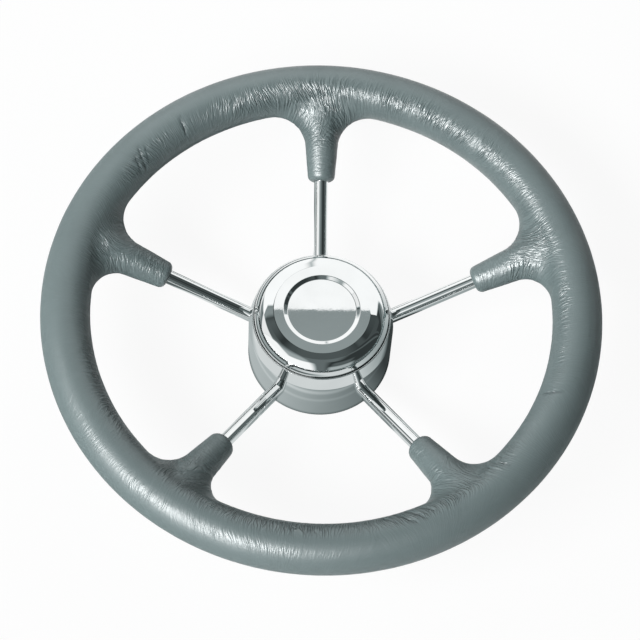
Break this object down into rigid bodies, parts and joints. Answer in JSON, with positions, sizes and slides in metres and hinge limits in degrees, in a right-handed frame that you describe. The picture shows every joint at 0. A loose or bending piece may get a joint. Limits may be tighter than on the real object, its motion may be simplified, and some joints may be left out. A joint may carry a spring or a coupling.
{
  "type": "boat steering wheel",
  "caption": "Dished boat steering wheel with a soft moulded grip, polished steel spokes, a round hub with a snap-in centre cap and a tapered shaft bore.",
  "frame": {"origin": "centre of the hub's back face, which is the lowest face and the large end of the shaft bore", "axes": "+Z along the wheel's turning axis towards the person who steers, +Y along the first spoke"},
  "size_m": [0.35, 0.35, 0.0741],
  "materials": {
    "grip": "matt grey soft moulding with leather grain",
    "polished_steel": "mirror-polished stainless steel",
    "plain_steel": "plain turned steel",
    "ring_rubber": "black rubber"
  },
  "bodies": {
    "root": {"grip": "grip", "rim_core": "plain_steel", "spoke_1": "polished_steel", "spoke_2": "polished_steel", "spoke_3": "polished_steel", "spoke_4": "polished_steel", "spoke_5": "polished_steel", "hub_drum": "polished_steel", "base_plate": "plain_steel", "hub_boss": "plain_steel", "centre_cap": "polished_steel", "cap_ring": "ring_rubber"}
  },
  "joints": []
}
